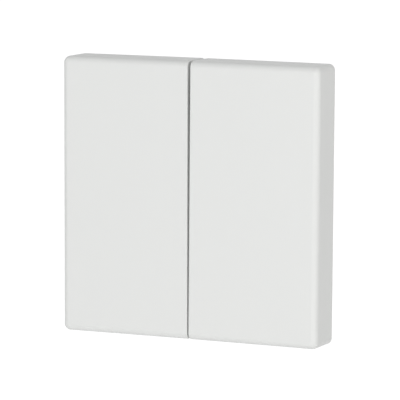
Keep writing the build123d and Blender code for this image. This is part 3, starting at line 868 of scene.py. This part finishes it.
def chip_body(low, high):
    """The chip's moulded body with the round mark of its first lead."""
    inset, ease, depth, radius, margin = 0.00004, 0.00005, 0.00006, 0.00028, 0.0007
    body = eased_block(
        (low.x + inset, low.y, low.z + inset), (high.x - inset, high.y - inset, high.z - inset),
        ease,
    )
    body.name = "chip_body"
    centre = (low.x + margin, low.y, high.z - margin)
    mark = lathe("mark", ((radius, -depth), (radius, depth)), 20, centre)
    return combine(body, mark, "DIFFERENCE")


def place_chip_lands(low, high, pitch):
    """Place the chip's metal lands, in a row along each of its four sides."""
    half_width, half_length, height, ease, corner = 0.00012, 0.00018, 0.0002, 0.00002, 0.001
    land = eased_block(
        (-half_width, -height, -half_length), (half_width, 0.0, half_length), ease, segments=1
    )
    middle = (low + high) / 2
    out = (high.x - low.x) / 2 - half_length
    count = int((high.x - low.x - corner) / pitch)
    spots, turns = [], []
    for index in range(count + 1):
        along = (index - count / 2) * pitch
        for x, z, turn in ((along, out, 0), (along, -out, 0), (out, along, 90), (-out, along, 90)):
            spots.append((middle.x + x, high.y, middle.z + z))
            turns.append(math.radians(turn))
    place_copies("chip_lands", land, "pin_tin", spots, turns)


def crystal_can(low, high):
    """The crystal: a dark base, a thin seam and a drawn lid."""
    seam, seam_height, lid_lift, foot_inset = high.y - 0.00038, 0.00006, 0.00004, 0.00003
    # Each part's inset, front, back, round of the edges with its steps, and finish
    parts = (
        (foot_inset, seam, high.y, 0.00004, 2, "chip_resin"),
        (foot_inset, seam - seam_height, seam, 0.00002, 2, "crystal_can"),
        (0.00016, low.y, seam - lid_lift, 0.00014, 4, "crystal_can"),
    )
    return join_meshes("crystal_housing", [
        eased_block(
            (low.x + inset, front, low.z + inset), (high.x - inset, back, high.z - inset),
            ease, finish, steps,
        )
        for inset, front, back, ease, steps, finish in parts
    ])


def capacitor(low, high):
    """A moulded capacitor: a body with drafted sides and a metal strip round each end."""
    end, half_strip, thick, rise, foot = 0.00009, 0.0012, 0.00022, 0.0013, 0.0013
    middle = (low + high) / 2
    rings = []
    for level, inset in (
        (high.y - 0.0001, 0.00014), (high.y - 0.0011, 0.0), (high.y - 0.00118, 0.0),
        (low.y + 0.00012, 0.00016), (low.y, 0.00028),
    ):
        width, height = high.x - low.x - 2 * inset, high.z - low.z - 2 * end - 2 * inset
        outline = rounded_outline(width, height, 0.0002, 4)
        rings.append([(middle.x + x, level, middle.z + z) for x, z in outline])
    parts = [painted(loft("capacitor_body", rings), "capacitor_resin")]
    for sign in (-1, 1):
        outer = middle.z + sign * (high.z - low.z) / 2
        for reach, tall in ((thick, rise), (foot, 0.0001)):
            ends = sorted((outer, outer - sign * reach))
            parts.append(eased_block(
                (middle.x - half_strip, high.y - tall, ends[0]),
                (middle.x + half_strip, high.y, ends[1]), 0.00003, "pin_tin",
            ))
    return parts


# Half of a diode's width and height
DIODE_HALF = (0.00065, 0.001)


def diode(middle, low, high):
    """A small diode: a black body, a printed band and a flat lead at each end."""
    half_x, half_z = DIODE_HALF
    inset, lead, lead_thick, proud, ease = 0.00026, 0.00035, 0.00014, 0.000004, 0.00007
    top = middle.z + half_z - inset
    parts = [
        eased_block(
            (middle.x - half_x, low.y, middle.z - half_z + inset),
            (middle.x + half_x, high.y - 0.00004, top), ease, "chip_resin",
        ),
        eased_block(
            (middle.x - half_x - proud, low.y - proud, top - 0.00036),
            (middle.x + half_x + proud, high.y - 0.0002, top - 0.00016), ease, "print_grey",
        ),
    ]
    for sign in (-1, 1):
        ends = sorted((middle.z + sign * half_z, middle.z + sign * (half_z - lead)))
        parts.append(eased_block(
            (middle.x - lead, high.y - lead_thick, ends[0]), (middle.x + lead, high.y, ends[1]),
            0.00003, "pin_tin",
        ))
    return parts


class SWITCH_OT_board_parts(bpy.types.Operator):
    """Make the chip, crystal, capacitors, rectifiers and antenna on the board"""

    bl_idname = "switch.board_parts"
    bl_label = "Parts on the Board"

    def execute(self, context):
        sizes = context.scene.switch_settings.sizes
        low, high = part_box("radio_chip")
        place(chip_body(low, high), "chip_resin", "radio_chip")
        place_chip_lands(low, high, sizes.lead_pitch)
        place(crystal_can(*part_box("crystal")), "crystal_can", "crystal")
        low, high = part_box("storage_capacitors")
        half_gap = 0.0003
        parts = capacitor(low, Vector((-half_gap, high.y, high.z)))
        parts += capacitor(Vector((half_gap, low.y, low.z)), high)
        place(join_meshes("capacitor_pair", parts), "capacitor_resin", "storage_capacitors")
        low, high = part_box("rectifiers")
        half_x, half_z = DIODE_HALF
        parts = []
        for x in (low.x + half_x, high.x - half_x):
            for z in (low.z + half_z, high.z - half_z):
                parts += diode(Vector((x, 0.0, z)), low, high)
        place(join_meshes("diodes", parts), "chip_resin", "rectifiers")
        place_eased_copy("antenna", "antenna_stamping", 0.00006, "antenna_strip")
        low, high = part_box("antenna")
        foot_width = 0.0012
        feet = [(x, high.y, (low.z + high.z) / 2) for x in (low.x + foot_width / 2, low.x / 3)]
        profile = ((0.0009, 0.0), (0.00078, 0.00008), (0.0006, 0.00026), (0.00052, 0.0005))
        place_copies("antenna_solder", lathe("blob", profile, 20), "pin_tin", feet)
        return {"FINISHED"}


# Generators

def winding(side, sizes):
    """One generator's winding: its inner layers as one tube, and the turns of its outer layer."""
    low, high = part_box(f"{side}_coil")
    wire = sizes.wire
    size = high - low - Vector((wire, wire, 0))
    corner, hole = 0.0014 - wire / 2, (0.0035, 0.0023, 0.0005)
    turns = grow("outer_turns", WINDING, "coil_wire", {
        "Length": size.z - wire, "Width": size.x, "Depth": size.y, "Corner": corner, "Wire": wire,
        "Turns": int(size.z / wire), "Corner Steps": sizes.corner_steps,
    })
    layers = ring_between(
        "inner_layers", (size.x, size.y, corner), hole, -size.z / 2, size.z / 2, 6,
        lambda x, y, level: (x, y, level),
    )
    piece = join_meshes(f"{side}_winding", [turns, painted(layers, "coil_wire")])
    piece.data.transform(Matrix.Translation((low + high) / 2))
    return piece


def winding_leads(pins, wire):
    """The ends of the windings: over each bobbin flange and down to its pin."""
    low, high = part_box("right_coil")
    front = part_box("right_bobbin")[0].y
    flange, clear, lift, bend = 0.0008, 0.00004, 0.00026, 0.0004
    over = front - clear - wire / 2
    outside = high.z + flange + clear + wire
    points, edges = [], []
    for pin_x, pin_y, pin_z in pins:
        side, end = math.copysign(1, pin_x), math.copysign(1, pin_z)
        arrive = abs(pin_x) + 0.00036
        start = len(points)
        run = (
            (high.x - 0.0014, low.y + wire / 2, high.z - 0.0002),
            (high.x - 0.00135, over, high.z - 0.00002), (high.x - 0.0012, over, outside),
            (high.x - 0.0009, front + 0.0009, outside + lift / 2),
            (arrive - 0.0001, pin_y - 0.0008, abs(pin_z) - lift),
            (arrive, pin_y + 0.00012, abs(pin_z)),
        )
        points += [(side * x, y, end * z) for x, y, z in run]
        edges += [(start + step, start + step + 1) for step in range(len(run) - 1)]
    mesh = bpy.data.meshes.new("lead_runs")
    mesh.from_pydata(points, edges, [])
    return grow("winding_leads", wire_tree(), "coil_wire", {"Wire": wire, "Bend": bend}, mesh)


class SWITCH_OT_generators(bpy.types.Operator):
    """Dress the two generators: cores, bobbins, windings, magnets, pole plates and levers"""

    bl_idname = "switch.generators"
    bl_label = "Generators"

    def execute(self, context):
        sizes = context.scene.switch_settings.sizes
        for side in SIDES:
            lever = f"{side}_lever"
            for part, name, ease, slot, body in (
                ("core", "core_dressed", 0.00006, "core_steel", "base"),
                ("bobbin", "bobbin_dressed", 0.00005, "bobbin_resin", "base"),
                ("magnet", "magnet_dressed", 0.00012, "magnet_plate", lever),
                ("pole_plates", "pole_plates_dressed", 0.00008, "core_steel", lever),
                ("lever", "rocking_lever", sizes.moulded_edge / 2, "lever_resin", lever),
            ):
                place_eased_copy(f"{side}_{part}", f"{side}_{name}", ease, slot, body)
            place(winding(side, sizes), "coil_wire", f"{side}_coil")
        dress_node("coil_pins", "pin_tin")
        low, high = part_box("coil_pins")
        half_pin, wrap_depth, lead_wire = 0.00025, 0.00044, 0.00012
        columns, rows = (
            (first + half_pin, last - half_pin)
            for first, last in ((low.x, high.x), (low.z, high.z))
        )
        spots = [(x, low.y, z) for x in columns for z in rows]
        wrap = grow("wrap", helix_tree("pin_wrap", steps=14, sides=6, smooth=True), "coil_wire", {})
        wrap.data.transform(Matrix.Translation((0.0, wrap_depth, 0.0)))
        place_copies("pin_wraps", wrap, "coil_wire", spots)
        place(winding_leads(spots, lead_wire), "coil_wire")
        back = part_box("circuit_board")[1].y
        rise = high.y - back
        profile = ((0.0006, 0.0), (0.00052, -rise * 0.4), (0.00034, -rise * 0.9), (0.0003, -rise))
        spots = [(x, back, z) for x, _, z in spots]
        place_copies("solder_joints", lathe("joint", profile, 16), "pin_tin", spots)
        return {"FINISHED"}


# Contact domes

# Shares of the dome's foot radius and height: the ceiling and inside, the foot, web and button
DOME_PROFILE = (
    (0.42, 0.265), (0.46, 0.25), (0.77, 0.03), (0.80, 0.0), (0.97, 0.0), (1.0, 0.02), (1.0, 0.075),
    (0.985, 0.095), (0.90, 0.105), (0.85, 0.125), (0.60, 0.36), (0.54, 0.40), (0.51, 0.44),
    (0.50, 0.48), (0.495, 0.955), (0.485, 0.98), (0.46, 0.995), (0.43, 1.0),
)
PILL_PROFILE = ((0.34, 0.205), (0.37, 0.215), (0.38, 0.23), (0.38, 0.27))


class SWITCH_OT_domes(bpy.types.Operator):
    """Dress the four silicone domes, with the carbon pill that each presses on the board"""

    bl_idname = "switch.domes"
    bl_label = "Contact Domes"

    def execute(self, context):
        for node in DOMES:
            low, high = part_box(node)
            foot = ((low.x + high.x) / 2, high.y, (low.z + high.z) / 2)
            radius, height = (high.x - low.x) / 2, high.y - low.y
            for name, shares, steps, replaced, finish in (
                ("key", DOME_PROFILE, 48, node, "dome_silicone"),
                ("pill", PILL_PROFILE, 28, None, "contact_carbon"),
            ):
                profile = [(radius * out, height * up) for out, up in shares]
                piece = lathe(node.replace("dome", name), profile, steps, foot)
                place(piece, "dome_silicone", replaced, finish)
                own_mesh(piece)
        return {"FINISHED"}


# Camera and studio

# How far the picture's middle lies from the camera's axis, in widths of the picture
CAMERA_SHIFT = (0.0305, 0.00336)


def make_camera(studio):
    """Put the camera at the photograph's angle, aimed at the middle of the front."""
    azimuth, elevation, roll = studio.azimuth, studio.elevation, studio.roll
    back = Vector((
        math.sin(azimuth) * math.cos(elevation), -math.cos(azimuth) * math.cos(elevation),
        math.sin(elevation),
    ))
    right = Vector((math.cos(azimuth), math.sin(azimuth), 0.0))
    up = back.cross(right)
    right, up = (
        right * math.cos(roll) + up * math.sin(roll), up * math.cos(roll) - right * math.sin(roll),
    )
    data = bpy.data.cameras.new("camera")
    data.lens = studio.lens
    data.sensor_width = 36.0
    data.shift_x, data.shift_y = CAMERA_SHIFT
    data.clip_start = 0.01
    camera = new_object("camera", data)
    turn = Matrix((right, up, back)).transposed().to_4x4()
    target = Vector((0.0, CAD_BOX[0].y, 0.0))
    camera.matrix_world = Matrix.Translation(target + back * studio.distance) @ turn
    bpy.context.scene.camera = camera


def seen_directly(tree):
    """1 for rays that show the background itself: camera, glossy and transmission rays."""
    path = add_node(tree, "ShaderNodeLightPath").outputs
    first = compute(tree, "MAXIMUM", path["Is Camera Ray"], path["Is Glossy Ray"])
    return compute(tree, "MAXIMUM", first, path["Is Transmission Ray"])


def make_floor(studio):
    """A wide pale floor that looks white, keeps a faint shadow and is clear from below."""
    reach, paper_grey, dim_grey, glow_strength = 6.0, 0.92, 0.45, 0.86
    corners = [(-reach, -reach), (reach, -reach), (reach, reach), (-reach, reach)]
    mesh = bpy.data.meshes.new("floor")
    mesh.from_pydata([(x, y, -studio.floor_drop) for x, y in corners], [], [(0, 1, 2, 3)])
    floor = new_object("floor", mesh)
    material = bpy.data.materials.new("floor_paper")
    tree = empty_tree(material)
    paper, dim = (
        output(tree, "ShaderNodeBsdfDiffuse", {"Color": (grey, grey, grey, 1.0)})
        for grey in (paper_grey, dim_grey)
    )
    glow = output(tree, "ShaderNodeEmission", {"Color": WHITE, "Strength": glow_strength})
    lit = output(tree, "ShaderNodeAddShader", {0: dim, 1: glow})
    above = output(tree, "ShaderNodeMixShader", {0: seen_directly(tree), 1: paper, 2: lit})
    behind = add_node(tree, "ShaderNodeNewGeometry").outputs["Backfacing"]
    camera_ray = add_node(tree, "ShaderNodeLightPath").outputs["Is Camera Ray"]
    below = compute(tree, "MULTIPLY", behind, camera_ray)
    clear = output(tree, "ShaderNodeBsdfTransparent")
    surface = output(tree, "ShaderNodeMixShader", {0: below, 1: above, 2: clear})
    add_node(tree, "ShaderNodeOutputMaterial", {"Surface": surface})
    floor.data.materials.append(material)


def make_world(studio):
    """Even light from all sides, with a white background for the rays that see it."""
    world = bpy.data.worlds.new("room")
    tree = empty_tree(world)
    values = {0: seen_directly(tree), 2: studio.room, 3: 1.0}
    strength = output(tree, "ShaderNodeMix", values)
    background = output(tree, "ShaderNodeBackground", {"Color": WHITE, "Strength": strength})
    add_node(tree, "ShaderNodeOutputWorld", {"Surface": background})
    bpy.context.scene.world = world


def make_lamps(studio):
    """Two soft lamps: one on the right, a little warm, and one low in front."""
    for name, power, spot, colour in (
        ("side_lamp", studio.side, (1.0, -0.7, 0.0), (1.0, 0.985, 0.955)),
        ("low_lamp", studio.low, (0.0, -0.8, -0.06), (1.0, 1.0, 1.0)),
    ):
        data = bpy.data.lights.new(name, "AREA")
        data.energy = power
        data.color = colour
        data.shape = "SQUARE"
        data.size = studio.lamp_size
        lamp = new_object(name, data)
        away = Vector(spot)
        turn = away.to_track_quat("Z", "Y").to_matrix().to_4x4()
        lamp.matrix_world = Matrix.Translation(away) @ turn


class SWITCH_OT_stage(bpy.types.Operator):
    """Set up the camera, the floor and the soft studio light"""

    bl_idname = "switch.stage"
    bl_label = "Camera and Studio"

    def execute(self, context):
        studio = context.scene.switch_settings.studio
        make_camera(studio)
        make_floor(studio)
        make_world(studio)
        make_lamps(studio)
        context.scene.view_settings.view_transform = "Standard"
        return {"FINISHED"}


class SWITCH_PT_panel(bpy.types.Panel):
    """The switch's operators and settings"""

    bl_label = "Double Rocker Switch"
    bl_idname = "SWITCH_PT_panel"
    bl_space_type = "VIEW_3D"
    bl_region_type = "UI"
    bl_category = "Switch"

    def draw(self, context):
        layout = self.layout
        for operator in OPERATORS:
            layout.operator(operator.bl_idname)
        settings = context.scene.switch_settings
        for group in (settings.sizes, settings.colours, settings.studio):
            box = layout.box()
            for key in group.__annotations__:
                box.prop(group, key)


OPERATORS = (
    SWITCH_OT_rocker_caps, SWITCH_OT_mounting, SWITCH_OT_cover, SWITCH_OT_board,
    SWITCH_OT_board_parts, SWITCH_OT_generators, SWITCH_OT_domes, SWITCH_OT_stage,
)
GROUPS = (SwitchSizes, SwitchColours, SwitchStudio, SwitchSettings)


def register():
    """Add the settings, the operators and the panel."""
    for cls in (*GROUPS, *OPERATORS, SWITCH_PT_panel):
        bpy.utils.register_class(cls)
    bpy.types.Scene.switch_settings = PointerProperty(type=SwitchSettings)


def unregister():
    """Take the panel, the operators and the settings away."""
    del bpy.types.Scene.switch_settings
    for cls in reversed((*GROUPS, *OPERATORS, SWITCH_PT_panel)):
        bpy.utils.unregister_class(cls)


def main():
    """Build every piece."""
    register()
    bpy.ops.switch.rocker_caps()
    bpy.ops.switch.mounting()
    bpy.ops.switch.cover()
    bpy.ops.switch.board()
    bpy.ops.switch.board_parts()
    bpy.ops.switch.generators()
    bpy.ops.switch.domes()
    bpy.ops.switch.stage()


if __name__ == "__main__":
    main()
